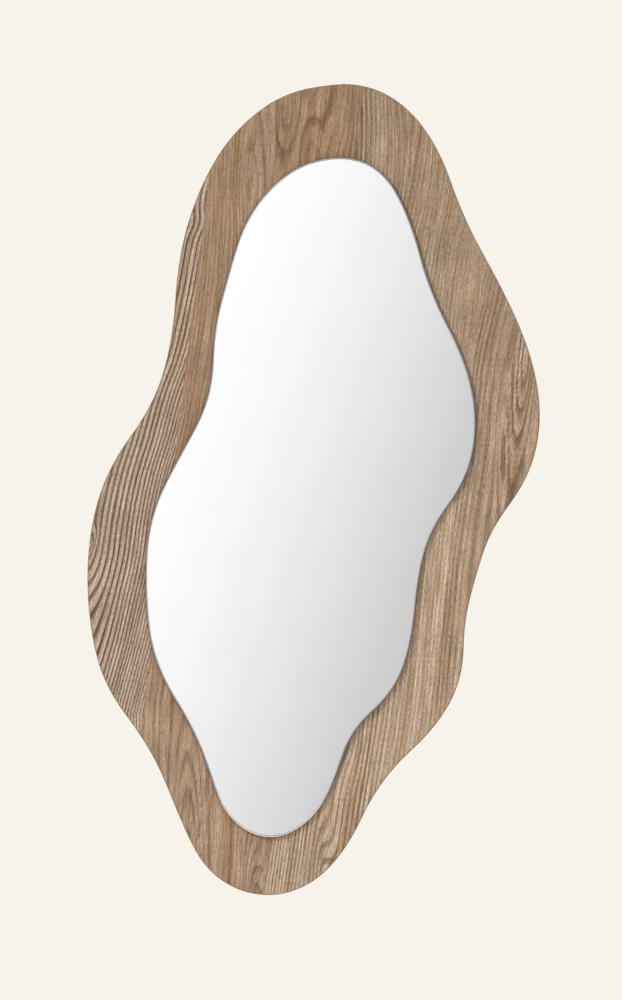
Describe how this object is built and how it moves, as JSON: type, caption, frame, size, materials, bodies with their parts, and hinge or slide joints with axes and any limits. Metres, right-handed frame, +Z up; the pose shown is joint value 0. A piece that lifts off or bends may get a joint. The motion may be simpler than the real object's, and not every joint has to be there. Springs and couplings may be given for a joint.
{
  "type": "irregular wall mirror",
  "caption": "Wall mirror with a free-form wavy glass stuck on the face of a larger, free-form wood-veneered board; keyhole plates let in flush in its back.",
  "frame": {"origin": "midway between the centres of the two keyhole head holes, on the back face of the board", "axes": "+Z up as it hangs, +Y towards the wall, +X to the right as seen from the front; the glass faces -Y"},
  "size_m": [0.502, 0.0254, 0.9],
  "materials": {
    "oak_leaf_coarse": "sliced oak veneer with coarse slanted stripes, matt lacquer",
    "oak_leaf_fine": "sliced oak veneer with fine quiet grain, matt lacquer",
    "oak_leaf_crown": "sliced oak veneer with crowns and straight lines, matt lacquer",
    "oak_leaf_warm": "sliced oak veneer, paler and warmer, matt lacquer",
    "edge_oak": "oak edge strip, matt lacquer",
    "balancing_oak": "plain balancing veneer, sealed",
    "fibreboard": "raw medium density fibreboard",
    "clear_glass": "clear float glass with a ground arris",
    "silvering": "silvered and painted on the back",
    "foam_tape": "white double-sided foam tape",
    "mirror_adhesive": "neutral-cure mirror adhesive",
    "zinc_plate": "zinc-plated pressed steel",
    "zinc_screw": "zinc-plated screw steel",
    "grey_felt": "pressed grey felt"
  },
  "bodies": {
    "root": {"adhesive_beads": "mirror_adhesive", "back_veneer": "balancing_oak", "board_core": "fibreboard", "edge_band": "edge_oak", "hanger_left": "zinc_plate", "hanger_right": "zinc_plate", "hanger_screws": "zinc_screw", "mirror_glass": "clear_glass", "mirror_tape": "foam_tape", "silver_backing": "silvering", "veneer_leaf_1": "oak_leaf_coarse", "veneer_leaf_2": "oak_leaf_fine", "veneer_leaf_3": "oak_leaf_crown", "veneer_leaf_4": "oak_leaf_warm", "wall_pad_bottom": "grey_felt", "wall_pad_left": "grey_felt", "wall_pad_right": "grey_felt", "wall_pad_top": "grey_felt"}
  },
  "joints": []
}
